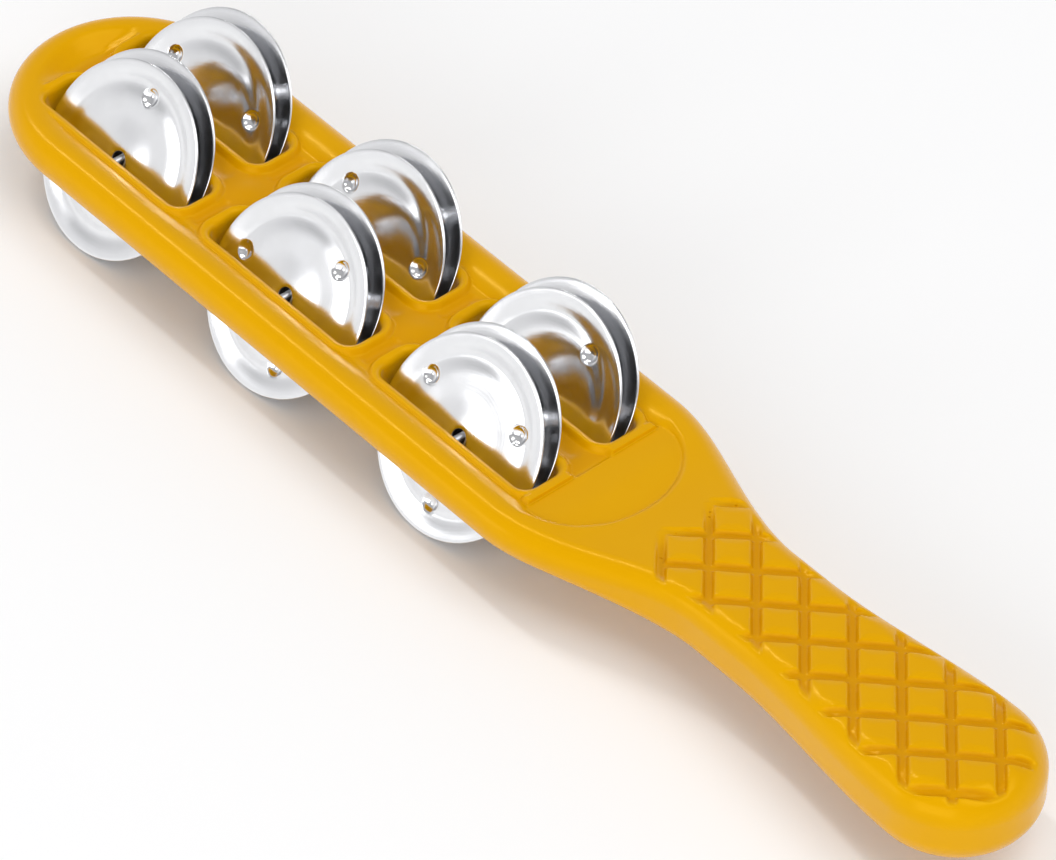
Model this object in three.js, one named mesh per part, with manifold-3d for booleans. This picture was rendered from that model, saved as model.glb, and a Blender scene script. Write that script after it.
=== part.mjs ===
// Hand-held jingle stick: a moulded plastic frame with a handle, six open slots,
// three cross pins and six loose pairs of sheet-steel jingles. Millimetres, +Z up.
// +X runs from the head towards the handle, the pins lie along Y, and the lowest
// jingle rim stands on z = 0.
import * as THREE from 'three';
import { mergeVertices } from 'three/addons/utils/BufferGeometryUtils.js';
import Module from 'manifold-3d';

// ---- driving dimensions -------------------------------------------------------------
const ROWS = 3;                 // slot rows along the stick
const PITCH = 51.15;            // row to row
const COLUMN = 9.7;             // slot centre line either side of the middle
const SLOT_LEN = 43.2;
const SLOT_WIDE = 9.8;
const SLOT_CORNER = 2.8;
const SLOT_LIP = 1.2;           // flare of the slot's mouth

const HEAD_X = -59.5;           // where the straight rails end in the rounded head
const HEAD_REACH = 27.4;        // from there to the tip
const HEAD_HALF = 25.1;         // half width of the head
const HEAD_THICK = 4.3;         // half thickness of the head
const SHOULDER_X = 72;          // shoulders narrow from here
const WAIST_X = 118;
const WAIST_HALF = 12.95;
const SWELL_X = 128;            // the handle widens again from here
const GRIP_X = 174;             // widest point of the handle
const GRIP_HALF = 16.85;
const END_REACH = 17.2;         // from the widest point to the end
const RISE_X = 84;              // the neck thickens from here
const RISE_LEN = 30;
const RISE = 2.1;
const TAPER_RISE = 2.0;         // the grip thickens this much more towards its end
const GRIP_FLAT = 2.1;          // half height of the straight part of the handle's side

const DECK_INSET = 7.4;         // rail width round the sunken deck
const DECK_DEEP = 1.2;
const DECK_SLOPE = 1.3;
const LIP_WIDE = 1.7;           // flat top of the raised lip round each slot
const LIP_FOOT = 2.9;
const LIP_DROP = 0.35;          // the lips stand this much below the rail
const PLAQUE_X = 75.5;
const PLAQUE_REACH = 15.2;
const PLAQUE_HALF = 17.4;
const PLAQUE_DEEP = 0.6;

const GROOVE_A = 6.5;           // half the diamond's length along X
const GROOVE_B = 5.95;          // half its width along Y
const GROOVE_X = 104.2;         // a groove crossing
const GROOVE_Y = 2.97;
const GROOVE_WIDE = 2.0;
const GROOVE_DEEP = 0.9;
const GRIP_START = 102.5;
const GRIP_MARGIN = 3.2;

const PIN_R = 0.8;
const PIN_BORE = 1.0;
const PIN_NEAR = -20;           // blind end, in the rail
const PIN_FAR = 23.6;

const JINGLE_R = 20;
const JINGLE_HOLE = 1.65;
const JINGLE_SHEET = 0.4;
// the pressed profile: share of the radius, and how far the sheet stands out there
const JINGLE_RELIEF = [[0.2, 0.24], [0.41, 0.05], [0.56, 0.05], [0.79, -0.42], [1, 0]];
const JINGLE_LEAN = 35;         // degrees; the loose jingles rest against their slot
const RIM_GAP = 4.26;           // rim to rim of a pair, along the pin
const DENT_RING = 13.9;
const DENT_R = 2.0;
const DENT_DEEP = 0.6;
const DENTS = 3;
const FIRST_DENT = { A: [90, 52, 33.5], B: [28, 18, 62] };
const PARTNER_TURN = 47;        // the rear jingle of a pair is turned by this much

const LEAN = THREE.MathUtils.degToRad(JINGLE_LEAN);
const CENTRE_Z = JINGLE_R * Math.cos(LEAN) + (JINGLE_SHEET / 2) * Math.sin(LEAN);
const CENTRE_X = -(GRIP_X + END_REACH + HEAD_X - HEAD_REACH) / 2;

// ---- solids -------------------------------------------------------------------------
const wasm = await Module();
wasm.setup();

function toSolid(geometry) {
  const g = geometry.clone();
  g.deleteAttribute('normal');
  g.deleteAttribute('uv');
  const m = mergeVertices(g, 1e-5);
  const index = m.index.array;
  return new wasm.Manifold(new wasm.Mesh({
    numProp: 3,
    vertProperties: new Float32Array(m.attributes.position.array),
    triVerts: new Uint32Array(index),
  }));
}

function toGeometry(solid) {
  const mesh = solid.getMesh();
  const g = new THREE.BufferGeometry();
  g.setAttribute('position', new THREE.BufferAttribute(new Float32Array(mesh.vertProperties), 3));
  g.setIndex(new THREE.BufferAttribute(new Uint32Array(mesh.triVerts), 1));
  g.computeVertexNormals();
  return g;
}

// Closed solid from rings of equal length, lowest ring first, capped top and bottom.
// Each ring runs up one side and back down the other, so a cap pairs its two sides.
function ringSolid(rings) {
  const n = rings[0].length;
  const position = rings.flat().flatMap((p) => [p.x, p.y, p.z]);
  const index = [];
  for (let k = 0; k + 1 < rings.length; k += 1) {
    for (let i = 0; i < n; i += 1) {
      const a = k * n + i;
      const b = k * n + ((i + 1) % n);
      index.push(a, b, b + n, a, b + n, a + n);
    }
  }
  const top = (rings.length - 1) * n;
  for (let i = 0; i + 1 < n / 2; i += 1) {
    const [a, b, c, d] = [i, i + 1, n - 2 - i, n - 1 - i];
    index.push(b, a, d, b, d, c);
    index.push(top + a, top + b, top + c, top + a, top + c, top + d);
  }
  const g = new THREE.BufferGeometry();
  g.setAttribute('position', new THREE.Float32BufferAttribute(position, 3));
  g.setIndex(index);
  return toSolid(g);
}

function placed(geometry, x, y, z, turn = 0, tilt = 0) {
  const m = new THREE.Matrix4().makeRotationFromEuler(new THREE.Euler(0, tilt, turn, 'YZX'));
  m.setPosition(x, y, z);
  return toSolid(geometry.clone().applyMatrix4(m));
}

const smooth = (t) => { const u = THREE.MathUtils.clamp(t, 0, 1); return u * u * (3 - 2 * u); };

// ---- the frame's outline and thickness ----------------------------------------------
function halfWidth(x) {
  if (x <= HEAD_X) return HEAD_HALF * Math.sqrt(Math.max(0, 1 - ((HEAD_X - x) / HEAD_REACH) ** 2));
  if (x >= GRIP_X) return GRIP_HALF * Math.sqrt(Math.max(0, 1 - ((x - GRIP_X) / END_REACH) ** 2));
  const shoulder = (HEAD_HALF - WAIST_HALF) * (1 - smooth((x - SHOULDER_X) / (WAIST_X - SHOULDER_X)));
  const swell = (GRIP_HALF - WAIST_HALF) * smooth((x - SWELL_X) / (GRIP_X - SWELL_X));
  return WAIST_HALF + shoulder + swell;
}

function halfThick(x) {
  const taper = THREE.MathUtils.clamp((x - RISE_X - RISE_LEN) / 64, 0, 1);
  return HEAD_THICK + RISE * smooth((x - RISE_X) / RISE_LEN) + TAPER_RISE * taper;
}

function stations() {
  const xs = [];
  const arc = 11;
  for (let i = 0; i < arc; i += 1) xs.push(HEAD_X - HEAD_REACH * Math.cos((i + 0.35) * Math.PI / 2 / arc));
  for (let x = HEAD_X; x < SHOULDER_X - 1; x += 13.7) xs.push(x);
  for (let x = SHOULDER_X; x < GRIP_X; x += 5.5) xs.push(x);
  for (let i = arc - 1; i >= 0; i -= 1) xs.push(GRIP_X + END_REACH * Math.cos((i + 0.35) * Math.PI / 2 / arc));
  return xs;
}

// One side of the outline (y > 0) moved inwards along its normal by inset(x).
function sidePoints(xs, inset) {
  return xs.map((x) => {
    const e = 0.02;
    const slope = (halfWidth(x + e) - halfWidth(x - e)) / (2 * e);
    const n = new THREE.Vector2(-slope, 1).normalize();
    const d = inset(x);
    return new THREE.Vector2(x - n.x * d, Math.max(0.02, halfWidth(x) - n.y * d));
  });
}

// Full ring: out along +X on the near side (y < 0), back along the far side.
function outlineRing(xs, inset, z) {
  const side = sidePoints(xs, inset);
  const near = side.map((p, i) => new THREE.Vector3(p.x, -p.y, z(xs[i])));
  const far = side.map((p, i) => new THREE.Vector3(p.x, p.y, z(xs[i]))).reverse();
  return near.concat(far);
}

function frameBlank() {
  const xs = stations();
  const flat = (x) => GRIP_FLAT * smooth((x - RISE_X) / RISE_LEN);
  const radius = (x) => halfThick(x) - flat(x);
  const steps = 5;
  const rings = [];
  for (let half = -1; half <= 1; half += 2) {
    for (let k = 0; k <= steps; k += 1) {
      const lift = half < 0 ? 1 - k / steps : k / steps;
      const b = lift * Math.PI / 2 * 0.96;
      if (half > 0 && k === 0) continue;
      const inset = (x) => radius(x) * (1 - Math.cos(b));
      rings.push(outlineRing(xs, inset, (x) => half * (flat(x) * Math.min(1, lift * 4)
        + radius(x) * Math.sin(b) / Math.sin(Math.PI / 2 * 0.96))));
    }
  }
  return ringSolid(rings);
}

// ---- cutters ------------------------------------------------------------------------
function roundedRing(length, width, corner, z, perCorner = 3) {
  const ring = [];
  const [lx, ly] = [length / 2 - corner, width / 2 - corner];
  [[-1, -1, 180], [1, -1, 270], [1, 1, 0], [-1, 1, 90]].forEach(([sx, sy, from]) => {
    for (let i = 0; i <= perCorner; i += 1) {
      const a = THREE.MathUtils.degToRad(from + 90 * i / perCorner);
      ring.push(new THREE.Vector3(sx * lx + corner * Math.cos(a), sy * ly + corner * Math.sin(a), z));
    }
  });
  // start on the -X end so that the cap pairs near and far points
  const shift = Math.ceil(perCorner / 2);
  return ring.slice(shift).concat(ring.slice(0, shift));
}

// Rounded block through a list of [z, grow] levels.
function roundedBlock(x, y, length, width, corner, levels) {
  const rings = levels.map(([z, grow]) => roundedRing(length + 2 * grow, width + 2 * grow,
    corner + grow, z).map((p) => p.add(new THREE.Vector3(x, y, 0))));
  return toSolid(fanCapped(rings));
}

// As ringSolid, but each cap is a fan about the ring's centre, for convex rings.
function fanCapped(rings) {
  const n = rings[0].length;
  const centre = (ring) => ring.reduce((s, p) => s.add(p), new THREE.Vector3()).divideScalar(n);
  const points = rings.flat().concat([centre(rings[0]), centre(rings[rings.length - 1])]);
  const index = [];
  for (let k = 0; k + 1 < rings.length; k += 1) {
    for (let i = 0; i < n; i += 1) {
      const a = k * n + i;
      const b = k * n + ((i + 1) % n);
      index.push(a, b, b + n, a, b + n, a + n);
    }
  }
  const low = rings.length * n;
  const top = (rings.length - 1) * n;
  for (let i = 0; i < n; i += 1) {
    index.push((i + 1) % n, i, low, top + i, top + ((i + 1) % n), low + 1);
  }
  const g = new THREE.BufferGeometry();
  g.setAttribute('position', new THREE.Float32BufferAttribute(points.flatMap((p) => [p.x, p.y, p.z]), 3));
  g.setIndex(index);
  return g;
}

const rowX = (row) => (row - (ROWS - 1) / 2) * PITCH;
const columns = { A: -COLUMN, B: COLUMN };

function eachSlot(visit) {
  Object.entries(columns).forEach(([name, y]) => {
    for (let row = 0; row < ROWS; row += 1) visit(name, row, rowX(row), y);
  });
}

function slotCutter(x, y) {
  const h = HEAD_THICK - LIP_DROP;
  return roundedBlock(x, y, SLOT_LEN, SLOT_WIDE, SLOT_CORNER, [
    [-9, SLOT_LIP * 3], [-h, SLOT_LIP], [-h + SLOT_LIP, 0],
    [h - SLOT_LIP, 0], [h, SLOT_LIP], [9, SLOT_LIP * 3]]);
}

// The sunken deck inside the rail, with the slots' lips left standing; side is +1 or -1.
function deckCutter(side) {
  const top = HEAD_THICK;
  const arc = 8;
  const ring = (inset, z) => {
    const pts = [];
    const b = HEAD_HALF - inset;
    for (let i = 0; i <= 2 * arc; i += 1) {
      const a = Math.PI / 2 + Math.PI * i / (2 * arc);
      pts.push(new THREE.Vector3(HEAD_X + (HEAD_REACH - inset) * Math.cos(a), b * Math.sin(a), z));
    }
    for (let i = 0; i <= 2 * arc; i += 1) {
      const a = -Math.PI / 2 + Math.PI * i / (2 * arc);
      pts.push(new THREE.Vector3(PLAQUE_X + 4 * Math.cos(a), b * Math.sin(a), z));
    }
    return pts;
  };
  const levels = [[top - DECK_DEEP, DECK_INSET + DECK_SLOPE], [top + 0.1, DECK_INSET], [9, DECK_INSET]];
  let rings = levels.map(([z, inset]) => ring(inset, side * z));
  if (side < 0) rings = rings.reverse();
  let cutter = toSolid(fanCapped(rings));
  eachSlot((name, row, x, y) => {
    const foot = top - DECK_DEEP - 0.5;
    const crest = top - LIP_DROP;
    let levelsLip = [[foot, LIP_FOOT + 0.5], [crest - 0.3, LIP_WIDE + 0.5], [crest, LIP_WIDE]];
    levelsLip = levelsLip.map(([z, grow]) => [side * z, grow]);
    if (side < 0) levelsLip.reverse();
    cutter = cutter.subtract(roundedBlock(x, y, SLOT_LEN, SLOT_WIDE, SLOT_CORNER, levelsLip));
  });
  // saddles where the middle rib meets the cross bridges, and where these meet the rails
  for (let row = 0; row + 1 < ROWS; row += 1) {
    const x = rowX(row) + PITCH / 2;
    const z = (top - DECK_DEEP) * side;
    const saddle = (y, width) => roundedBlock(x, y, 12, width, 2.5,
      [[z - 1, 0], [z + side * 0.55 + (side < 0 ? 0 : 0), 0]].sort((p, q) => p[0] - q[0])
        .map(([level, grow]) => [level + (side < 0 ? 0.45 : 0), grow]));
    cutter = cutter.subtract(saddle(0, 10));
    [-1, 1].forEach((s) => { cutter = cutter.subtract(saddle(s * (HEAD_HALF - 9.5), 4)); });
  }
  return cutter;
}

// Shallow half-oval panel on the neck, left blank.
function plaqueCutter(side) {
  const arc = 10;
  const ring = (grow, z) => {
    const pts = [];
    for (let i = 0; i <= 2 * arc; i += 1) {
      const a = -Math.PI / 2 + Math.PI * i / (2 * arc);
      pts.push(new THREE.Vector3(PLAQUE_X + (PLAQUE_REACH + grow) * Math.cos(a),
        (PLAQUE_HALF + grow) * Math.sin(a), z));
    }
    return pts;
  };
  let rings = [ring(0, side * (HEAD_THICK - PLAQUE_DEEP)), ring(0.4, side * HEAD_THICK), ring(0.4, side * 9)];
  if (side < 0) rings = rings.reverse();
  return toSolid(fanCapped(rings));
}

function grooveCutter(side) {
  const slope = Math.atan2(TAPER_RISE, 64);
  const start = RISE_X + RISE_LEN;
  const turn = Math.atan2(GROOVE_B, GROOVE_A);
  const floor = (x) => halfThick(start) + (x - start) * Math.tan(slope) - GROOVE_DEEP;
  const bar = new THREE.BoxGeometry(150, GROOVE_WIDE, 8);
  let bars = null;
  const add = (solid) => { bars = bars ? bars.add(solid) : solid; };
  for (let i = -3; i <= 10; i += 1) {
    [1, -1].forEach((way) => {
      const x = GROOVE_X + 2 * GROOVE_A * i;
      const g = bar.clone();
      g.applyMatrix4(new THREE.Matrix4().makeRotationZ(way * turn));
      g.translate(0, GROOVE_Y, 4);
      g.applyMatrix4(new THREE.Matrix4().makeRotationY(-slope));
      g.translate(x, 0, floor(x));
      add(toSolid(g));
    });
  }
  const xs = stations().filter((x) => x > GRIP_START - 2.5);
  const inset = () => GRIP_MARGIN;
  const rings = [outlineRing(xs, inset, () => 2), outlineRing(xs, inset, () => 14)];
  bars = bars.intersect(ringSolid(rings));
  if (side > 0) return bars;
  const flipped = toGeometry(bars).applyMatrix4(new THREE.Matrix4().makeRotationX(Math.PI));
  return toSolid(flipped);
}

function pinBore(x) {
  const length = 60;
  return placed(new THREE.CylinderGeometry(PIN_BORE, PIN_BORE, length, 16), x, PIN_NEAR - 0.4 + length / 2, 0);
}

function frameGeometry() {
  let solid = frameBlank();
  [1, -1].forEach((side) => {
    solid = solid.subtract(deckCutter(side)).subtract(plaqueCutter(side)).subtract(grooveCutter(side));
  });
  eachSlot((name, row, x, y) => { solid = solid.subtract(slotCutter(x, y)); });
  for (let row = 0; row < ROWS; row += 1) solid = solid.subtract(pinBore(rowX(row)));
  return toGeometry(solid);
}

// ---- jingle -------------------------------------------------------------------------
// Axis along Y, rim centre at the origin; the side that faces away from the partner is -Y.
function jingleGeometry() {
  const outer = (r) => {
    const share = r / JINGLE_R;
    const next = Math.max(1, JINGLE_RELIEF.findIndex(([at]) => at >= share - 1e-9));
    const [[a, p], [b, q]] = [JINGLE_RELIEF[next - 1], JINGLE_RELIEF[next]];
    return -THREE.MathUtils.lerp(p, q, THREE.MathUtils.clamp((share - a) / (b - a), 0, 1));
  };
  const radii = JINGLE_RELIEF.map(([share]) => share * JINGLE_R);
  const half = JINGLE_SHEET / 2;
  const face = [new THREE.Vector2(JINGLE_HOLE, outer(JINGLE_HOLE) - half)].concat(radii.map((r) => new THREE.Vector2(r, outer(r) - half)));
  const back = [new THREE.Vector2(JINGLE_HOLE, outer(JINGLE_HOLE) + half)].concat(radii.map((r) => new THREE.Vector2(r, outer(r) + half)));
  const profile = face.concat(back.reverse());
  profile.push(profile[0].clone());
  let solid = toSolid(new THREE.LatheGeometry(profile, 28));
  const ball = (DENT_R ** 2 + DENT_DEEP ** 2) / (2 * DENT_DEEP);
  const level = outer(DENT_RING) - half;
  for (let i = 0; i < DENTS; i += 1) {
    const a = (2 * Math.PI * i) / DENTS;
    const at = [DENT_RING * Math.cos(a), level - ball + DENT_DEEP, DENT_RING * Math.sin(a)];
    const cap = new THREE.SphereGeometry(ball + JINGLE_SHEET, 8, 2, 0, 2 * Math.PI, 0, 0.72);
    const dip = new THREE.SphereGeometry(ball, 8, 2, 0, 2 * Math.PI, 0, 0.72);
    solid = solid.add(placed(closedCap(cap), ...at)).subtract(placed(closedCap(dip), ...at));
  }
  return toGeometry(solid);
}

// A sphere cap about +Y, closed by a cone down to a point on its axis.
function closedCap(cap) {
  const g = cap.clone();
  g.deleteAttribute('normal');
  g.deleteAttribute('uv');
  const m = mergeVertices(g, 1e-4);
  const pos = Array.from(m.attributes.position.array);
  const index = Array.from(m.index.array);
  let low = Infinity;
  for (let i = 1; i < pos.length; i += 3) low = Math.min(low, pos[i]);
  const tip = pos.length / 3;
  pos.push(0, low - 0.3, 0);
  const uses = new Map();
  for (let i = 0; i < index.length; i += 3) {
    [[0, 1], [1, 2], [2, 0]].forEach(([p, q]) => uses.set(`${index[i + p]}_${index[i + q]}`, [index[i + p], index[i + q]]));
  }
  uses.forEach(([p, q]) => { if (!uses.has(`${q}_${p}`)) index.push(q, p, tip); });
  const out = new THREE.BufferGeometry();
  out.setAttribute('position', new THREE.Float32BufferAttribute(pos, 3));
  out.setIndex(index);
  return out;
}

// ---- assembly -----------------------------------------------------------------------
const plastic = new THREE.MeshStandardMaterial({ color: 0xebb004, roughness: 0.35, metalness: 0 });
const steel = new THREE.MeshStandardMaterial({ color: 0xd4d6d9, roughness: 0.12, metalness: 1 });
const pinSteel = new THREE.MeshStandardMaterial({ color: 0xa9acb0, roughness: 0.25, metalness: 1 });

function namedMesh(name, geometry, material) {
  const mesh = new THREE.Mesh(geometry, material);
  mesh.name = name;
  return mesh;
}

function addPins(stick) {
  const length = PIN_FAR - PIN_NEAR;
  for (let row = 0; row < ROWS; row += 1) {
    const pin = namedMesh(`pin_${row + 1}`, new THREE.CylinderGeometry(PIN_R, PIN_R, length, 16), pinSteel);
    pin.position.set(rowX(row), PIN_NEAR + length / 2, 0);
    stick.add(pin);
  }
}

function addJingles(stick) {
  const shape = jingleGeometry();
  eachSlot((name, row, x, y) => {
    [['front', 1], ['rear', -1]].forEach(([place, way]) => {
      const lean = new THREE.Group();
      lean.position.set(x, y - way * RIM_GAP / 2, 0);
      lean.rotation.x = -LEAN;
      const geometry = shape.clone();
      if (way < 0) geometry.rotateX(Math.PI);
      const jingle = namedMesh(`jingle_${name.toLowerCase()}${row + 1}_${place}`, geometry, steel);
      const turned = FIRST_DENT[name][row] + (way < 0 ? PARTNER_TURN : 0);
      jingle.rotation.y = -THREE.MathUtils.degToRad(turned);
      lean.add(jingle);
      stick.add(lean);
    });
  });
}

const stick = new THREE.Group();
stick.position.set(CENTRE_X, 0, CENTRE_Z);
stick.add(namedMesh('frame', frameGeometry(), plastic));
addPins(stick);
addJingles(stick);
stick.updateMatrixWorld(true);

export default stick;
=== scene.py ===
"""Looks of a hand-held jingle stick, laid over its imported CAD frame.

A moulded yellow frame with a diamond-patterned handle and six open slots, three
cross pins, and twelve pressed steel jingles that lean in pairs inside the slots.
"""

import math

import bmesh
import bpy
import numpy as np
from mathutils import Matrix, Vector


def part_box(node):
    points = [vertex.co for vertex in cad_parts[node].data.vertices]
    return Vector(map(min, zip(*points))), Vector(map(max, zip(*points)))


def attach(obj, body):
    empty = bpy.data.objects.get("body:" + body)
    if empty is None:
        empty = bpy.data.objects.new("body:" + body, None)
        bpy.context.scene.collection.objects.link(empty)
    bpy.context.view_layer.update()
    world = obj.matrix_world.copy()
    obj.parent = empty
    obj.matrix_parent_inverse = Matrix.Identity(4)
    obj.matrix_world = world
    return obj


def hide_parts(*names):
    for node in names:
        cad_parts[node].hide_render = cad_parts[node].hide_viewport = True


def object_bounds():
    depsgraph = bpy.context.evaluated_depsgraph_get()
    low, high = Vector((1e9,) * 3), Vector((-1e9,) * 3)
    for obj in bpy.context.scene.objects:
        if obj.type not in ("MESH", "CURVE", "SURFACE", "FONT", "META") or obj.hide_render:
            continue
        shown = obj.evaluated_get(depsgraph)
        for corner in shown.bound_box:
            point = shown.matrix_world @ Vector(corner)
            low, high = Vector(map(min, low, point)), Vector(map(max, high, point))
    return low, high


bl_info = {
    "name": "Jingle Stick",
    "version": (1, 0, 0),
    "blender": (4, 5, 0),
    "location": "3D View > Sidebar > Jingle Stick",
    "description": "Makes the visible pieces of a jingle stick around its CAD frame",
    "category": "Add Mesh",
}

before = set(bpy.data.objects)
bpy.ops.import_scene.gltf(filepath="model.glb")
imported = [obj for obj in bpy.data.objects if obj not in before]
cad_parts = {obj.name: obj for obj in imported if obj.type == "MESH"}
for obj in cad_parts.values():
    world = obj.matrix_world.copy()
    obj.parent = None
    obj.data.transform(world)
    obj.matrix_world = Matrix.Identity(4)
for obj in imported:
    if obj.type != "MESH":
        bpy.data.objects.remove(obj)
CAD_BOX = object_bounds()
ROWS = (1, 2, 3)
COLUMNS = ("a", "b")
MIDDLE = sum(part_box("pin_2"), Vector()) / 2
STICK_ORIGIN = Vector((MIDDLE.x, 0.0, MIDDLE.z))
ROW_PITCH = sum(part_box("pin_3"), Vector()).x / 2 - MIDDLE.x
COLUMN_OFFSET = abs(sum(corner.y for side in ("front", "rear")
                        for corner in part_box(f"jingle_b2_{side}"))) / 4
MM = 0.001

# turn of the first dent of each front jingle, in degrees, from the head to the handle
FIRST_DENTS = {"a": (90.0, 52.0, 33.5), "b": (28.0, 18.0, 62.0)}
DENTS = 3
MOUTH_ROUND = 0.00012          # rounding of the edge of a jingle's hole


# ---- sizes and colours that a user would change ---------------------------------------
def length(name, text, value, low=0.0, high=1.0):
    return bpy.props.FloatProperty(name=name, description=text, default=value, min=low,
                                   max=high, unit="LENGTH", precision=5)


def factor(name, text, value, high=1.0):
    return bpy.props.FloatProperty(name=name, description=text, default=value, min=0.0,
                                   max=high, subtype="FACTOR")


def colour(name, text, value):
    return bpy.props.FloatVectorProperty(name=name, description=text, default=value, size=3,
                                         min=0.0, max=1.0, subtype="COLOR")


def angle(name, text, degrees):
    return bpy.props.FloatProperty(name=name, description=text, default=math.radians(degrees),
                                   subtype="ANGLE", unit="ROTATION")


class StickFrameSizes(bpy.types.PropertyGroup):
    """Sizes of the moulded frame, from the middle pin."""
    head_half: length("Head half width", "Half the width across the rails", 0.0251)
    head_x: length("Head centre", "Where the rails run into the rounded head", -0.0595, -1.0)
    head_reach: length("Head reach", "From the head centre to the tip", 0.0274)
    head_thick: length("Head half thickness", "Half the thickness of the rails", 0.0043)
    shoulder_x: length("Shoulder", "Where the shoulders start to narrow", 0.072)
    waist_x: length("Waist", "Where the shoulders end", 0.118)
    waist_half: length("Waist half width", "Half the width of the thinnest part", 0.01295)
    swell_x: length("Handle swell", "Where the handle widens again", 0.128)
    grip_x: length("Handle centre", "Widest point of the handle", 0.174)
    grip_half: length("Handle half width", "Half the width of the handle", 0.01685)
    end_reach: length("Handle end", "From the widest point to the end", 0.0172)
    rise_x: length("Neck", "Where the neck starts to thicken", 0.084)
    rise_length: length("Neck length", "How long the neck takes to thicken", 0.030)
    rise: length("Neck rise", "How much the neck thickens on each face", 0.0021)
    taper_rise: length("Handle taper", "How much more the handle thickens", 0.0020)
    slot_length: length("Slot length", "Length of a jingle slot", 0.0432)
    slot_width: length("Slot width", "Width of a jingle slot", 0.0098)
    slot_corner: length("Slot corner", "Corner radius of a slot", 0.0028)
    lip_round: length("Slot lip rounding", "Radius of the slot's rolled edge", 0.0016)
    rail_width: length("Rail width", "From the outline to the sunken deck", 0.0076)
    crown: length("Rail crown", "How far the rail's crown falls towards the deck", 0.00065)
    deck_deep: length("Deck depth", "How far the deck is below the rails", 0.0017)
    trough_deep: length("Trough depth", "Extra depth of the troughs between the slots", 0.0003)
    hollow_deep: length("Head hollow", "Depth of the hollow inside the head's rail", 0.0010)
    panel_x: length("Panel centre", "Straight side of the blank neck panel", 0.0755)
    panel_reach: length("Panel reach", "From the straight side to the tip", 0.0152)
    panel_half: length("Panel half width", "Half the width of the neck panel", 0.0175)
    panel_deep: length("Panel depth", "How far the panel is sunk", 0.00090)
    groove_deep: length("Groove depth", "Depth of the handle's grooves", 0.00085)
    groove_wide: length("Groove width", "Width of the handle's grooves", 0.0021)
    diamond_long: length("Diamond length", "Half a diamond's length along the stick", 0.0065)
    diamond_wide: length("Diamond width", "Half a diamond's width across", 0.00595)
    groove_x: length("Pattern start", "Where the first two grooves cross", 0.1046)
    groove_y: length("Pattern offset", "How far the pattern is off the middle", 0.00297)
    bore: length("Pin bore", "Radius of the bores that hold the pins", 0.0010)
    mesh_step: length("Mesh step", "Grid step of the frame's surface", 0.00045, 0.0002, 0.002)


class JingleSizes(bpy.types.PropertyGroup):
    """Sizes of one pressed jingle."""
    radius: length("Radius", "Outer radius", 0.020)
    hole: length("Hole", "Radius of the hole that the pin runs through", 0.00165)
    sheet: length("Sheet", "Thickness of the sheet", 0.0004)
    dome: length("Dome", "How far the hub stands out past the rim", 0.00034)
    valley: length("Valley", "How far the pressed ring lies behind the rim", 0.00036)
    dent_ring: length("Dent circle", "Radius on which the dents lie", 0.0139)
    dent_radius: length("Dent radius", "Radius of a dent", 0.0019)
    dent_deep: length("Dent depth", "Depth of a dent", 0.0010)
    lean: angle("Lean", "How far a pair leans against its slot", 35)
    rim_gap: length("Rim gap", "From rim to rim of a pair, along the pin", 0.00426)
    partner_turn: angle("Partner turn", "How far the rear jingle is turned from the front one", 47)


class PinSizes(bpy.types.PropertyGroup):
    """Sizes of a cross pin."""
    radius: length("Radius", "Radius of the wire", 0.0008)
    chamfer: length("Chamfer", "Chamfer on the cut ends", 0.00025)


class FinishColours(bpy.types.PropertyGroup):
    """Colours and gloss of the three materials."""
    plastic: colour("Plastic", "Golden yellow of the moulding", (0.72, 0.360, 0.0))
    # darker orange painted shade that the grooves and the sunken deck blend towards; the plastic
    # has no such tone of its own
    plastic_deep: colour("Plastic, deep", "Richer tone in the hollows", (0.62, 0.265, 0.0))
    plastic_rough: factor("Plastic roughness", "Roughness of the moulding", 0.21)
    steel: colour("Jingle steel", "Polished jingle steel", (0.80, 0.805, 0.82))
    steel_rough: factor("Jingle roughness", "Roughness of the polished steel", 0.14)
    pin: colour("Pin steel", "Plain drawn wire", (0.55, 0.56, 0.58))
    pin_rough: factor("Pin roughness", "Roughness of the wire", 0.28)


class StudioSettings(bpy.types.PropertyGroup):
    """Camera, floor and lights."""
    azimuth: angle("Camera azimuth", "Angle of the camera round the object", 48.29)
    elevation: angle("Camera elevation", "Angle of the camera above the floor", 43.95)
    roll: angle("Camera roll", "Turn of the picture", 1.12)
    distance: length("Camera distance", "From the camera to the middle pin", 1.4228, 0.1, 10.0)
    side: length("Camera side step", "Shift of the camera to the right", 0.03738, -1.0, 1.0)
    lift: length("Camera lift", "Shift of the camera upwards", -0.03106, -1.0, 1.0)
    lens: bpy.props.FloatProperty(name="Lens", description="Focal length in millimetres",
                                  default=251.8, min=10, max=1000, unit="CAMERA")
    floor: colour("Floor", "Colour of the floor", (0.93, 0.93, 0.93))
    sky: factor("Surroundings", "Brightness of the white surroundings", 1.07, 5.0)


# ---- shader graphs ---------------------------------------------------------------------
class Wire:
    """An output socket with arithmetic; each operation adds one Math node."""

    def __init__(self, graph, socket):
        self.graph = graph
        self.socket = socket

    def calc(self, operation, *others):
        return self.graph.add("ShaderNodeMath", {"operation": operation},
                              dict(enumerate((self,) + others)))

    def __add__(self, other):
        return self.calc("ADD", other)

    __radd__ = __add__

    def __sub__(self, other):
        return self.calc("SUBTRACT", other)

    def __rsub__(self, other):
        return self.graph.add("ShaderNodeMath", {"operation": "SUBTRACT"}, {0: other, 1: self})

    def __mul__(self, other):
        return self.calc("MULTIPLY", other)

    __rmul__ = __mul__


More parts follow.
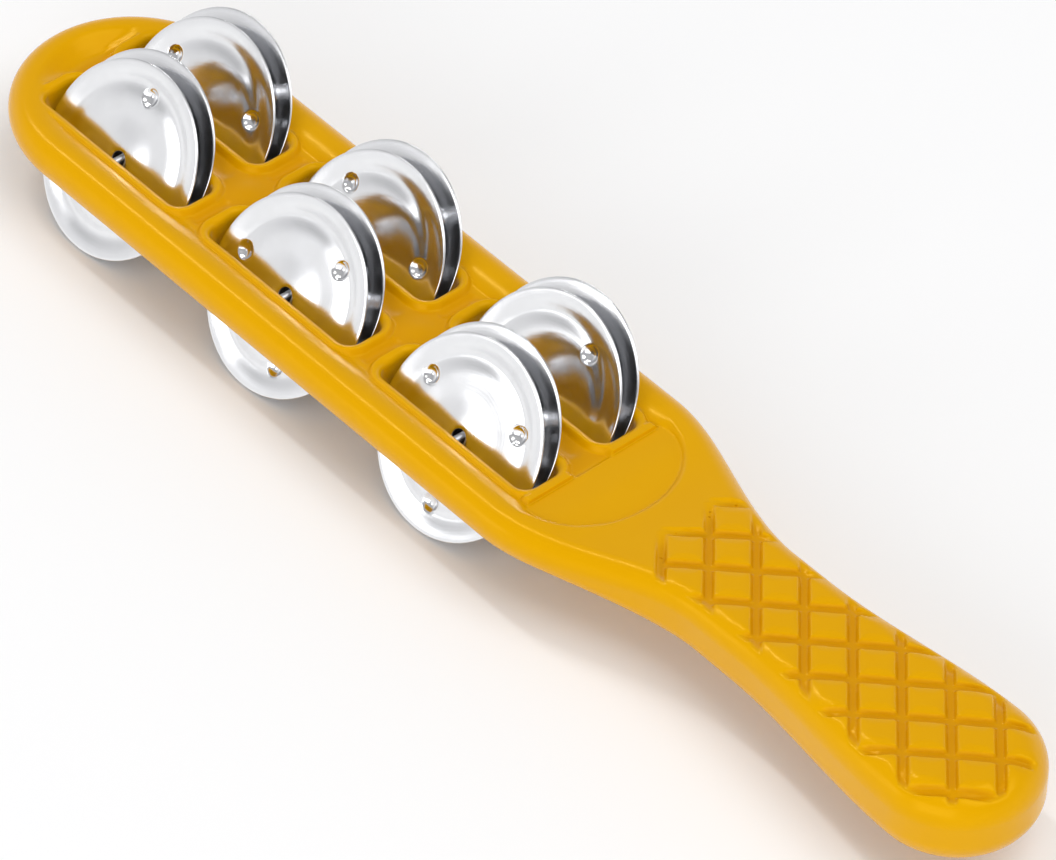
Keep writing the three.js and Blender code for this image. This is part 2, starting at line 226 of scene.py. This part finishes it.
class ShaderGraph:
    """A material's node tree, built from expressions."""

    def __init__(self, name):
        self.material = bpy.data.materials.new(name)
        self.material.use_nodes = True
        self.tree = self.material.node_tree
        self.tree.nodes.clear()

    @classmethod
    def on(cls, tree):
        """Works on a tree that already exists, such as a world's."""
        graph = cls.__new__(cls)
        graph.tree = tree
        return graph

    def add(self, kind, settings=None, sockets=None, output=0):
        node = self.tree.nodes.new(kind)
        for key, value in (settings or {}).items():
            if key == "stops":
                ramp = node.color_ramp.elements
                while len(ramp) < len(value):
                    ramp.new(0.5)
                for stop, (place, shade) in zip(ramp, value):
                    stop.position = place
                    stop.color = (*shade, 1.0) if len(shade) == 3 else shade
            else:
                setattr(node, key, value)
        for key, value in (sockets or {}).items():
            socket = node.inputs[key]
            if isinstance(value, Wire):
                self.tree.links.new(value.socket, socket)
            elif socket.type == "RGBA":
                socket.default_value = (*value, 1.0) if len(value) == 3 else value
            else:
                socket.default_value = value
        return Wire(self, node.outputs[output])

    def coords(self):
        return self.add("ShaderNodeTexCoord", output="Object")

    def noise(self, vector, scale, detail=3.0, roughness=0.5, output="Fac"):
        return self.add("ShaderNodeTexNoise", None,
                        {"Vector": vector, "Scale": scale, "Detail": detail,
                         "Roughness": roughness}, output)

    def spread(self, value, low, high, to_low=0.0, to_high=1.0):
        return self.add("ShaderNodeMapRange", {"interpolation_type": "SMOOTHSTEP"},
                        {"Value": value, "From Min": low, "From Max": high,
                         "To Min": to_low, "To Max": to_high}, "Result")

    def blend(self, share, first, second):
        return self.add("ShaderNodeMix", {"data_type": "RGBA"},
                        {0: share, 6: first, 7: second}, 2)

    def bump(self, height, strength, distance, normal=None):
        sockets = {"Height": height, "Strength": strength, "Distance": distance}
        if normal is not None:
            sockets["Normal"] = normal
        return self.add("ShaderNodeBump", None, sockets, "Normal")

    def surface(self, **sockets):
        named = {key.replace("_", " ").title().replace("Ior", "IOR"): value
                 for key, value in sockets.items()}
        shader = self.add("ShaderNodeBsdfPrincipled", None, named, "BSDF")
        self.add_output(shader)
        return self.material

    def add_output(self, shader):
        node = self.tree.nodes.new("ShaderNodeOutputMaterial")
        self.tree.links.new(shader.socket, node.inputs["Surface"])


def moulded_plastic(look):
    """Semi-gloss golden ABS with a faint mould texture, handling marks, soft flow and painted
    shade in its grooves and deck.
    """
    g = ShaderGraph("yellow_moulding")
    where = g.coords()
    flow = g.noise(where, 38.0, 2.0, 0.45)
    blotch = g.noise(where, 210.0, 3.0, 0.5)
    mist = g.noise(where, 900.0, 4.0, 0.6)
    tone = g.spread(flow * 0.65 + blotch * 0.35, 0.35, 0.65)
    # the hollow attribute is a mask of painted shade: grooves and the sunken deck are darkened
    # towards the deeper colour
    hollow = g.add("ShaderNodeAttribute", {"attribute_name": "hollow"}, None, "Fac")
    base = g.blend(tone * 0.10 + hollow * 0.65, tuple(look.plastic), tuple(look.plastic_deep))
    rub = g.spread(g.noise(where, 95.0, 4.0, 0.65), 0.45, 0.75)
    rough = look.plastic_rough + rub * 0.05 + mist * 0.03 - 0.02
    grain = g.noise(where, 2600.0, 2.0, 0.5)
    ripple = g.noise(where, 420.0, 2.0, 0.5)
    normal = g.bump(grain * 0.6 + ripple * 0.4, 0.04, 0.00012)
    return g.surface(base_color=base, roughness=rough, normal=normal, ior=1.45,
                     specular_tint=(1.0, 0.66, 0.08, 1.0))


def polished_sheet(look):
    """Tumble-polished pressed steel: bright, with faint turning rings and fine scuffs."""
    g = ShaderGraph("polished_jingle_steel")
    lean = bpy.context.scene.jingle.lean
    where = g.add("ShaderNodeMapping", None, {"Vector": g.coords(), "Rotation": (lean, 0, 0)})
    apart = g.add("ShaderNodeSeparateXYZ", None, {0: where}, "X")
    across = Wire(g, apart.socket.node.outputs["Z"])
    radius = (apart * apart + across * across).calc("SQRT")
    wobble = g.noise(where, 120.0, 2.0, 0.5)
    rings = (radius * 9000.0 + wobble * 9.0).calc("SINE")
    scuff = g.noise(where, 1500.0, 5.0, 0.7)
    stain = g.spread(g.noise(where, 140.0, 4.0, 0.6), 0.42, 0.72)
    base = g.blend(stain * 0.5, tuple(look.steel), tuple(c * 0.9 for c in look.steel))
    rough = look.steel_rough + stain * 0.05 + g.spread(scuff, 0.5, 0.8) * 0.05
    swell = g.noise(where, 90.0, 1.0, 0.4)
    normal = g.bump(swell, 0.12, 0.0015)
    normal = g.bump(rings * 0.3 + scuff * 0.7, 0.06, 0.00003, normal)
    return g.surface(base_color=base, metallic=1.0, roughness=rough, normal=normal)


def drawn_wire(look):
    """Plain steel wire with marks along its length from drawing."""
    g = ShaderGraph("drawn_pin_steel")
    where = g.coords()
    along = g.add("ShaderNodeMapping", None, {"Vector": where, "Scale": (1.0, 0.04, 1.0)})
    lines = g.noise(along, 5200.0, 3.0, 0.6)
    dull = g.noise(where, 330.0, 3.0, 0.6)
    base = g.blend(g.spread(dull, 0.35, 0.7), tuple(look.pin), tuple(c * 0.72 for c in look.pin))
    rough = look.pin_rough + lines * 0.18 - 0.06
    normal = g.bump(lines, 0.2, 0.00004)
    return g.surface(base_color=base, metallic=1.0, roughness=rough, normal=normal)


def pale_floor(look):
    g = ShaderGraph("pale_floor")
    where = g.coords()
    base = g.blend(g.noise(where, 6.0, 2.0) * 0.15, tuple(look.floor),
                   tuple(c * 0.985 for c in look.floor))
    return g.surface(base_color=base, roughness=0.9, specular_ior_level=0.1)


# ---- the moulded frame as a solid field ------------------------------------------------
def smooth(t):
    u = np.clip(t, 0.0, 1.0)
    return u * u * (3.0 - 2.0 * u)


def smooth_max(a, b, k):
    h = np.clip(0.5 + 0.5 * (a - b) / k, 0.0, 1.0)
    return b + (a - b) * h + k * h * (1.0 - h)


class StickForm:
    """The moulded frame as a field, positive inside, in millimetres from the middle pin."""

    LIP_DROP = 0.35             # the slots' lips stand this much below the rail
    LIP_FLAT, LIP_FALL = 1.6, 1.15
    SHOULDER_RAIL, SHOULDER_PANEL = 3.3, 1.3
    SADDLE_RISE = 0.35
    PAD_CROWN = 0.34

    def __init__(self, sizes):
        self.size = {key: getattr(sizes, key) / MM for key in sizes.__annotations__}
        self.pitch = ROW_PITCH / MM
        self.column = COLUMN_OFFSET / MM

    def half_width(self, x):
        s = self.size
        narrow = 1.0 - smooth((x - s["shoulder_x"]) / (s["waist_x"] - s["shoulder_x"]))
        swell = smooth((x - s["swell_x"]) / (s["grip_x"] - s["swell_x"]))
        return (s["waist_half"] + (s["head_half"] - s["waist_half"]) * narrow
                + (s["grip_half"] - s["waist_half"]) * swell)

    def half_thick(self, x):
        s = self.size
        taper = np.clip((x - s["rise_x"] - s["rise_length"]) / 64.0, 0.0, 1.0)
        return (s["head_thick"] + s["rise"] * smooth((x - s["rise_x"]) / s["rise_length"])
                + s["taper_rise"] * taper)

    @staticmethod
    def oval(x, y, centre, reach, half):
        """Distance outwards from an oval, to first order."""
        u, v = (x - centre) / reach, y / half
        rho = np.hypot(u, v) + 1e-9
        steep = np.hypot(u / reach, v / half) / rho
        return (rho - 1.0) / np.maximum(steep, 1e-3)

    def depth(self, x, y):
        """Distance inwards from the outline."""
        s = self.size
        y = np.abs(y)
        slope = (self.half_width(x + 0.05) - self.half_width(x - 0.05)) / 0.1
        middle = (self.half_width(x) - y) / np.sqrt(1.0 + slope * slope)
        head = -self.oval(x, y, s["head_x"], s["head_reach"], s["head_half"])
        end = -self.oval(x, y, s["grip_x"], s["end_reach"], s["grip_half"])
        return np.where(x < s["head_x"], head, np.where(x > s["grip_x"], end, middle))

    def row_offset(self, x):
        return x - self.pitch * np.clip(np.round(x / self.pitch), -1, 1)

    def slot_gap(self, x, y):
        """Distance outwards from the nearest slot's wall."""
        s = self.size
        corner = s["slot_corner"]
        u = np.abs(self.row_offset(x)) - (s["slot_length"] / 2 - corner)
        v = np.abs(np.abs(y) - self.column) - (s["slot_width"] / 2 - corner)
        return (np.hypot(np.maximum(u, 0), np.maximum(v, 0))
                + np.minimum(np.maximum(u, v), 0) - corner)

    def top(self, x, y):
        """Height of the upper face above the middle plane."""
        s = self.size
        side = np.abs(y)
        depth = self.depth(x, y)
        gap = self.slot_gap(x, y)
        thick = self.half_thick(x)
        low = s["head_thick"] - s["deck_deep"]
        panel_level = (s["head_thick"] - s["panel_deep"]
                       - 0.3 * (1.0 - smooth((x - s["panel_x"]) / 8.0)))
        # the rail's crown, and past the deck the shoulder round the blank panel
        past = smooth((x - s["panel_x"] + 3.0) / 7.0)
        panel = self.oval(x, y, s["panel_x"], s["panel_reach"], s["panel_half"])
        edge = np.where(x < s["panel_x"], s["rail_width"] - depth, panel)
        wide = self.SHOULDER_RAIL + (self.SHOULDER_PANEL - self.SHOULDER_RAIL) * past
        drop = s["crown"] + (s["panel_deep"] + 0.08 - s["crown"]) * past
        crown = thick - drop * np.clip((wide - edge) / wide, 0.0, 1.9) ** 2
        # the soft lips round the slots, with a straight ledge before the panel
        lip_top = s["head_thick"] - self.LIP_DROP
        on_deck = 1.0 - smooth((x - s["panel_x"] + 0.5) / 0.9)
        rest = panel_level + (low - panel_level) * on_deck
        wall = smooth((gap - self.LIP_FLAT) / self.LIP_FALL)
        lip = rest + (lip_top - rest) * (1.0 - wall)
        height = smooth_max(crown, lip, 0.25)
        along = smooth((s["panel_x"] + 0.2 - x) / 0.35) * smooth((x - s["panel_x"] + 3.0) / 1.5)
        beside = smooth((16.9 - side) / 1.5) * smooth((side - 3.9) / 1.5)
        height = np.maximum(height, rest + (lip_top - rest) * along * beside)
        # troughs along the spine and the bridges, and the hollow inside the head's rail
        row = np.abs(self.row_offset(x))
        cross = np.abs(x) - self.pitch / 2
        spine = np.hypot(np.maximum(row - 18.2, 0.0), side)
        bridge = np.hypot(cross, np.maximum(np.abs(side - 9.6) - 3.4, 0.0))
        trough = np.maximum(1.0 - smooth((spine - 0.2) / 2.4),
                            1.0 - smooth((bridge - 0.1) / 1.6))
        saddle = np.exp(-cross ** 2 / 9.0 - side ** 2 / 7.0)
        hollow = (smooth((gap - 1.8) / 3.0) * smooth((depth - 5.0) / 3.4)
                  * smooth((-69.0 - x) / 6.0))
        return (height - s["trough_deep"] * trough + self.SADDLE_RISE * saddle
                - s["hollow_deep"] * hollow)

    def grooves(self, x, y):
        """Depth of the crossed grooves on the handle, full cells only."""
        s = self.size
        a, b = s["diamond_long"], s["diamond_wide"]
        u = ((x - s["groove_x"]) / a + (y - s["groove_y"]) / b) / 2
        v = ((x - s["groove_x"]) / a - (y - s["groove_y"]) / b) / 2
        scale = 2 * a * b / math.hypot(a, b)
        i, j, p, q = np.floor(u), np.floor(v), np.round(u), np.round(v)

        def kept(m, n):
            return ((m >= -1) & (n >= 0)) | ((m >= 0) & (n >= -1))

        first = np.where(kept(p - 1, j) | kept(p, j), np.abs(u - p) * scale, 9.0)
        second = np.where(kept(i, q - 1) | kept(i, q), np.abs(v - q) * scale, 9.0)
        near = -smooth_max(-first, -second, 0.35)
        half = s["groove_wide"] / 2
        cut = 1.0 - smooth((near - 0.5) / (half - 0.25))
        crown = self.PAD_CROWN * (1.0 - smooth(near / 3.0)) * kept(i, j)
        return (s["groove_deep"] * cut + crown) * smooth((x - 96.0) / 8.0)

    def faded(self, x, y, z):
        """How fully the grooves are cut, from nothing at the outline to one on the face."""
        s = self.size
        flat = s["rise"] * smooth((x - s["rise_x"]) / s["rise_length"])
        return (smooth((self.depth(x, y) - 1.6) / 2.6)
                * smooth((np.abs(z) - flat) / 2.0))

    def hollow(self, x, y, z):
        """How deep a point lies in a groove or on the sunken deck, as the mask of painted shade
        for the colour there.
        """
        s = self.size
        turned = np.where(z >= 0, y, -y)
        cut = self.grooves(x, turned) * self.faded(x, y, z) / s["groove_deep"]
        deck = (smooth((self.slot_gap(x, y) - 1.9) / 1.3) * smooth((s["panel_x"] - x) / 1.5)
                * smooth((self.depth(x, y) - s["rail_width"] - 2.2) / 2.0))
        return smooth((cut - 0.25) / 0.9) + 0.8 * deck

    def field(self, x, y, z):
        s = self.size
        turned = np.where(z >= 0, y, -y)       # the lower face is the upper one turned over
        height = np.abs(z)
        depth = self.depth(x, y)
        thick = self.half_thick(x)
        flat = s["rise"] * smooth((x - s["rise_x"]) / s["rise_length"])
        radius = thick - flat
        body = radius - np.hypot(np.maximum(radius - depth, 0), np.maximum(height - flat, 0))
        solid = np.minimum(body, self.top(x, turned) - height)
        solid = solid - self.grooves(x, turned) * self.faded(x, y, z)
        edge, gap = s["lip_round"], self.slot_gap(x, y)
        a, b = np.maximum(edge - solid, 0), np.maximum(edge - gap, 0)
        solid = np.where((a > 0) & (b > 0), edge - np.hypot(a, b), np.minimum(solid, gap))
        reach = (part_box("pin_2")[0].y / MM - 0.4) - y
        bore = np.maximum(np.hypot(self.row_offset(x), z) - s["bore"], reach)
        return np.minimum(solid, bore)

    def slope(self, x, y, z, e=0.02):
        return np.stack([(self.field(x + e, y, z) - self.field(x - e, y, z)),
                         (self.field(x, y + e, z) - self.field(x, y - e, z)),
                         (self.field(x, y, z + e) - self.field(x, y, z - e))], 1) / (2 * e)


def surface_net(form, low, high, step):
    """Vertices and quads of the field's zero surface on a regular grid."""
    axes = [np.arange(a, b + step, step) for a, b in zip(low, high)]
    values = np.empty([len(a) for a in axes], np.float32)
    for start in range(0, len(axes[0]), 40):
        part = axes[0][start:start + 40]
        x, y, z = np.meshgrid(part, axes[1], axes[2], indexing="ij")
        values[start:start + 40] = form.field(x, y, z)
    inside = values > 0
    shape = np.array(inside.shape)
    corners = [(i, j, k) for i in (0, 1) for j in (0, 1) for k in (0, 1)]

    def shifted(array, c):
        return array[c[0]:array.shape[0] - 1 + c[0], c[1]:array.shape[1] - 1 + c[1],
                     c[2]:array.shape[2] - 1 + c[2]]

    count = sum(shifted(inside, c).astype(np.int8) for c in corners)
    cells = np.argwhere((count > 0) & (count < 8))
    number = np.full(shape - 1, -1, np.int64)
    number[tuple(cells.T)] = np.arange(len(cells))
    at = {c: values[tuple((cells + c).T)] for c in corners}
    total = np.zeros((len(cells), 3))
    hits = np.zeros(len(cells))
    for c in corners:
        for axis in range(3):
            if c[axis]:
                continue
            d = tuple(1 if k == axis else c[k] for k in range(3))
            crossed = (at[c] > 0) != (at[d] > 0)
            share = at[c] / np.where(crossed, at[c] - at[d], 1.0)
            point = np.tile(np.array(c, float), (len(cells), 1))
            point[:, axis] = share
            total += point * crossed[:, None]
            hits += crossed
    points = (cells + total / hits[:, None]) * step + np.array([a[0] for a in axes])
    quads = []
    for axis in range(3):
        u, v = (axis + 1) % 3, (axis + 2) % 3
        first = [slice(1, -1)] * 3
        first[axis] = slice(0, -1)
        second = list(first)
        second[axis] = slice(1, None)
        change = inside[tuple(first)].astype(np.int8) - inside[tuple(second)].astype(np.int8)
        for way in (1, -1):
            base = np.argwhere(change == way)
            base[:, u] += 1
            base[:, v] += 1
            around = []
            for du, dv in ((-1, -1), (0, -1), (0, 0), (-1, 0)):
                cell = base.copy()
                cell[:, u] += du
                cell[:, v] += dv
                around.append(number[tuple(cell.T)])
            quad = np.stack(around, 1)
            quads.append(quad if way > 0 else quad[:, ::-1])
    return points, np.concatenate(quads)


def settled(form, points, rounds=3):
    """Points moved onto the field's surface, with their outward normals."""
    for _ in range(rounds):
        x, y, z = points.T
        value = form.field(x, y, z)
        slope = form.slope(x, y, z)
        steep = np.maximum((slope ** 2).sum(1), 0.05)
        move = -value[:, None] * slope / steep[:, None]
        size = np.linalg.norm(move, axis=1)
        points = points + move * np.minimum(1.0, 0.25 / np.maximum(size, 1e-9))[:, None]
    normal = -form.slope(*points.T)
    return points, normal / np.maximum(np.linalg.norm(normal, axis=1), 1e-9)[:, None]


# ---- pieces ----------------------------------------------------------------------------
def piece_from(name, points, faces, material, normals=None):
    mesh = bpy.data.meshes.new(name)
    mesh.from_pydata(points.tolist() if hasattr(points, "tolist") else points, [],
                     faces.tolist() if hasattr(faces, "tolist") else faces)
    mesh.update()
    mesh.shade_smooth()
    if normals is not None:
        mesh.normals_split_custom_set_from_vertices(normals.tolist())
    mesh.materials.append(material)
    piece = bpy.data.objects.new(name, mesh)
    bpy.context.scene.collection.objects.link(piece)
    return piece


def material_named(name, maker):
    return bpy.data.materials.get(name) or maker(bpy.context.scene.jingle_finish)


def lathe(profile, angles):
    """Closed ring profile of (radius, height) turned about local Y."""
    n, m = len(profile), len(angles)
    radius, height = np.array(profile).T
    turn = np.array(angles)
    points = np.stack([np.outer(np.cos(turn), radius), np.tile(height, (m, 1)),
                       np.outer(np.sin(turn), radius)], 2).reshape(-1, 3)
    i, k = np.meshgrid(np.arange(m), np.arange(n), indexing="ij")
    a, b = i * n + k, ((i + 1) % m) * n + k
    c, d = ((i + 1) % m) * n + (k + 1) % n, i * n + (k + 1) % n
    return points, np.stack([a, b, c, d], 2).reshape(-1, 4)


def jingle_line(size, share):
    """How far the pressed sheet's middle stands out past the rim at a share of the radius."""
    hub = size.dome * (1.0 - smooth((share - 0.08) / 0.38))
    return hub - size.valley * np.exp(-((share - 0.775) / 0.10) ** 2)


def jingle_mesh(size):
    """One pressed jingle about local Y, rim centre at the origin, outer face towards -Y."""
    r, half = size.radius, size.sheet / 2
    inner = np.linspace(size.hole + MOUTH_ROUND, 0.41 * r, 12)
    crease = np.linspace(0.43 * r, 0.56 * r, 6)
    wall = np.linspace(0.575 * r, 0.775 * r, 14)
    rim = np.linspace(0.79 * r, r - half, 10)
    radii = np.concatenate([inner, crease, wall, rim])
    level = -jingle_line(size, radii / r)
    face = list(zip(radii, level - half))
    back = list(zip(radii, level + half))
    edge = [(r - half + half * math.cos(t), level[-1] + half * math.sin(t))
            for t in np.linspace(-math.pi / 2, math.pi / 2, 7)[1:-1]]
    mouth = [(size.hole + MOUTH_ROUND - MOUTH_ROUND * math.cos(t), level[0] + half * math.sin(t))
             for t in np.linspace(math.pi / 2, -math.pi / 2, 5)[1:-1]]
    profile = face + edge + back[::-1] + mouth
    angles = sorted(set(
        [round(2 * math.pi * i / 108, 6) for i in range(108)]
        + [round((2 * math.pi * d / DENTS + math.radians(w)) % (2 * math.pi), 6)
           for d in range(DENTS) for w in np.arange(-10, 10.1, 1.25)]))
    points, faces = lathe(profile, angles)
    ball = (size.dent_radius ** 2 + size.dent_deep ** 2) / (2 * size.dent_deep)
    for i in range(DENTS):
        turn = 2 * math.pi * i / DENTS
        off = np.hypot(points[:, 0] - size.dent_ring * math.cos(turn),
                       points[:, 2] - size.dent_ring * math.sin(turn))
        cap = np.sqrt(np.maximum(ball ** 2 - off ** 2, 0)) - (ball - size.dent_deep)
        points[:, 1] += smooth_max(cap, 0.0, 0.00008) * (off < 1.4 * size.dent_radius)
    return points, faces


class FrameOperator(bpy.types.Operator):
    """Makes the moulded frame, with its rails, slots, blank neck panel and grip"""
    bl_idname = "jingle_stick.moulded_frame"
    bl_label = "Moulded Frame"

    def execute(self, context):
        sizes = context.scene.stick_frame
        form = StickForm(sizes)
        s = form.size
        step = sizes.mesh_step / MM * 1.0
        reach = s["head_half"] + 1.0
        thick = s["head_thick"] + s["rise"] + s["taper_rise"] + 0.9
        points, faces = surface_net(
            form, (s["head_x"] - s["head_reach"] - 1.03, -reach - 0.11, -thick - 0.07),
            (s["grip_x"] + s["end_reach"] + 1.0, reach, thick), step)
        points, normals = settled(form, points)
        # the hollow attribute carries the painted shade of the grooves and the sunken deck into
        # the plastic's colour
        hollow = form.hollow(*points.T)
        points = points * MM + np.array(STICK_ORIGIN)
        piece = piece_from("moulded_frame", points, faces,
                           material_named("yellow_moulding", moulded_plastic), normals)
        tone = piece.data.attributes.new("hollow", "FLOAT", "POINT")
        tone.data.foreach_set("value", hollow)
        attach(piece, "frame")
        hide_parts("frame")
        return {"FINISHED"}


class JinglesOperator(bpy.types.Operator):
    """Makes the twelve pressed jingles and hangs each pair on its pin"""
    bl_idname = "jingle_stick.jingles"
    bl_label = "Jingles"

    def execute(self, context):
        size = context.scene.jingle
        points, faces = jingle_mesh(size)
        material = material_named("polished_jingle_steel", polished_sheet)
        for column, side in zip(COLUMNS, (-1, 1)):
            for row in ROWS:
                for place in ("front", "rear"):
                    name = f"jingle_{column}{row}_{place}"
                    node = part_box(name)
                    turn = math.radians(FIRST_DENTS[column][row - 1])
                    turn += size.partner_turn if place == "rear" else 0.0
                    way = -1 if place == "rear" else 1
                    tilt = Matrix.Rotation(-size.lean, 3, "X")
                    centre = Vector((sum(n.x for n in node) / 2,
                                     side * COLUMN_OFFSET - way * size.rim_gap / 2, MIDDLE.z))
                    facing = math.pi if place == "rear" else 0.0
                    pose = np.array(tilt @ Matrix.Rotation(facing, 3, "X")
                                    @ Matrix.Rotation(-turn, 3, "Y"))
                    piece = piece_from(f"pressed_{name}", points @ pose.T, faces, material)
                    piece.location = centre
                    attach(piece, name)
                    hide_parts(name)
        return {"FINISHED"}


class PinsOperator(bpy.types.Operator):
    """Makes the three cross pins of drawn wire"""
    bl_idname = "jingle_stick.pins"
    bl_label = "Cross Pins"

    def execute(self, context):
        size = context.scene.cross_pin
        material = material_named("drawn_pin_steel", drawn_wire)
        for row in ROWS:
            low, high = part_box(f"pin_{row}")
            half = (high.y - low.y) / 2
            r, c = size.radius, size.chamfer
            line = [(0.0002, -half), (r - c, -half), (r - 0.3 * c, -half + 0.35 * c),
                    (r, -half + 1.2 * c), (r, -half * 0.5), (r, 0.0), (r, half * 0.5),
                    (r, half - 1.2 * c), (r - 0.3 * c, half - 0.35 * c), (r - c, half),
                    (0.0002, half)]
            bm = bmesh.new()
            turns = 40
            rings = [[bm.verts.new((x * math.cos(t), y, x * math.sin(t)))
                      for t in np.linspace(0, 2 * math.pi, turns, endpoint=False)]
                     for x, y in line]
            for one, two in zip(rings, rings[1:]):
                for i in range(turns):
                    bm.faces.new((one[i], two[i], two[(i + 1) % turns], one[(i + 1) % turns]))
            bm.faces.new(rings[0])
            bm.faces.new(rings[-1][::-1])
            bmesh.ops.recalc_face_normals(bm, faces=bm.faces)
            mesh = bpy.data.meshes.new(f"wire_pin_{row}")
            bm.to_mesh(mesh)
            bm.free()
            mesh.shade_smooth()
            mesh.materials.append(material)
            piece = bpy.data.objects.new(f"wire_pin_{row}", mesh)
            context.scene.collection.objects.link(piece)
            piece.matrix_world = Matrix.Translation((low + high) / 2)
            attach(piece, "frame")
            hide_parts(f"pin_{row}")
        return {"FINISHED"}


class StageOperator(bpy.types.Operator):
    """Sets the pale floor, the white surroundings, the soft lights and the camera"""
    bl_idname = "jingle_stick.stage"
    bl_label = "Studio"

    def lamp(self, context, name, place, aim, size, power, spread=180.0):
        data = bpy.data.lights.new(name, "AREA")
        data.shape = "RECTANGLE"
        data.size, data.size_y = size
        data.energy = power
        data.spread = math.radians(spread)
        lamp = bpy.data.objects.new(name, data)
        context.scene.collection.objects.link(lamp)
        lamp.location = place
        lamp.rotation_euler = (Vector(aim) - Vector(place)).to_track_quat("-Z", "Y").to_euler()
        return lamp

    def execute(self, context):
        scene, look = context.scene, context.scene.jingle_studio
        scene.view_settings.view_transform = "Standard"
        bm = bmesh.new()
        bmesh.ops.create_grid(bm, x_segments=8, y_segments=8, size=4.0)
        mesh = bpy.data.meshes.new("pale_floor")
        bm.to_mesh(mesh)
        bm.free()
        mesh.materials.append(material_named("pale_floor", lambda _: pale_floor(look)))
        floor = bpy.data.objects.new("pale_floor", mesh)
        floor.location.z = CAD_BOX[0].z - 0.0002
        scene.collection.objects.link(floor)

        world = bpy.data.worlds.new("white_surroundings")
        world.use_nodes = True
        tree = world.node_tree
        shade = ShaderGraph.on(tree)
        place = shade.add("ShaderNodeTexCoord", output="Generated")
        height = shade.add("ShaderNodeSeparateXYZ", None, {0: place}, "Z")
        ramp = shade.add("ShaderNodeValToRGB",
                         {"stops": ((0.0, (1.0, 1.0, 1.0)), (0.08, (1.0, 1.0, 1.0)),
                                    (0.30, (0.72, 0.72, 0.73)), (0.55, (0.42, 0.42, 0.43)),
                                    (1.0, (0.50, 0.50, 0.50)))}, {0: height}, "Color")
        side = Wire(shade, height.socket.node.outputs["Y"])
        power = shade.spread(side, -0.95, 0.1, 1.03, 0.97) * look.sky
        tree.links.new(ramp.socket, tree.nodes["Background"].inputs["Color"])
        tree.links.new(power.socket, tree.nodes["Background"].inputs["Strength"])
        scene.world = world

        a, e, roll = look.azimuth, look.elevation, look.roll
        back = Vector((math.sin(a) * math.cos(e), -math.cos(a) * math.cos(e), math.sin(e)))
        right = Vector((math.cos(a), math.sin(a), 0.0))
        up = back.cross(right)
        across = right * math.cos(roll) + up * math.sin(roll)
        upward = up * math.cos(roll) - right * math.sin(roll)
        data = bpy.data.cameras.new("camera")
        data.sensor_width = 36.0
        data.lens = look.lens
        data.clip_end = 50.0
        camera = bpy.data.objects.new("camera", data)
        scene.collection.objects.link(camera)
        turn = Matrix((across, upward, back)).transposed().to_4x4()
        place = STICK_ORIGIN + across * look.side + upward * look.lift + back * look.distance
        camera.matrix_world = Matrix.Translation(place) @ turn
        scene.camera = camera

        self.lamp(context, "strip", (-0.88, 0.0, 1.33), (0, 0, 0), (0.09, 0.9), 4)
        self.lamp(context, "low_box", (-0.72, -1.47, 0.68), (0, 0, 0), (0.52, 0.50), 1.5)
        self.lamp(context, "front_fill", (0.75, -1.50, 0.70), (0, 0, 0), (1.4, 0.9), 8)
        self.lamp(context, "overhead", (0.95, 0.25, 2.0), (0, 0, 0), (1.6, 1.6), 19)
        return {"FINISHED"}


class JINGLE_STICK_PT_pieces(bpy.types.Panel):
    """Lists the jingle stick's pieces"""
    bl_label = "Jingle Stick"
    bl_idname = "JINGLE_STICK_PT_pieces"
    bl_space_type = "VIEW_3D"
    bl_region_type = "UI"
    bl_category = "Jingle Stick"

    def draw(self, context):
        layout = self.layout
        for name, operators in PANEL_ROWS:
            box = layout.box()
            group = getattr(context.scene, name)
            for key in group.__annotations__:
                box.prop(group, key)
            for operator in operators:
                box.operator(operator)


PANEL_ROWS = (
    ("jingle_finish", ()),
    ("stick_frame", ("jingle_stick.moulded_frame",)),
    ("jingle", ("jingle_stick.jingles",)),
    ("cross_pin", ("jingle_stick.pins",)),
    ("jingle_studio", ("jingle_stick.stage",)),
)
GROUPS = {"stick_frame": StickFrameSizes, "jingle": JingleSizes, "cross_pin": PinSizes,
          "jingle_finish": FinishColours, "jingle_studio": StudioSettings}
CLASSES = (*GROUPS.values(), FrameOperator, JinglesOperator, PinsOperator, StageOperator,
           JINGLE_STICK_PT_pieces)


def register():
    for cls in CLASSES:
        bpy.utils.register_class(cls)
    for name, group in GROUPS.items():
        setattr(bpy.types.Scene, name, bpy.props.PointerProperty(type=group))


def unregister():
    for name in GROUPS:
        delattr(bpy.types.Scene, name)
    for cls in reversed(CLASSES):
        bpy.utils.unregister_class(cls)


def main():
    register()
    bpy.ops.jingle_stick.stage()
    bpy.ops.jingle_stick.moulded_frame()
    bpy.ops.jingle_stick.jingles()
    bpy.ops.jingle_stick.pins()


if __name__ == "__main__":
    main()
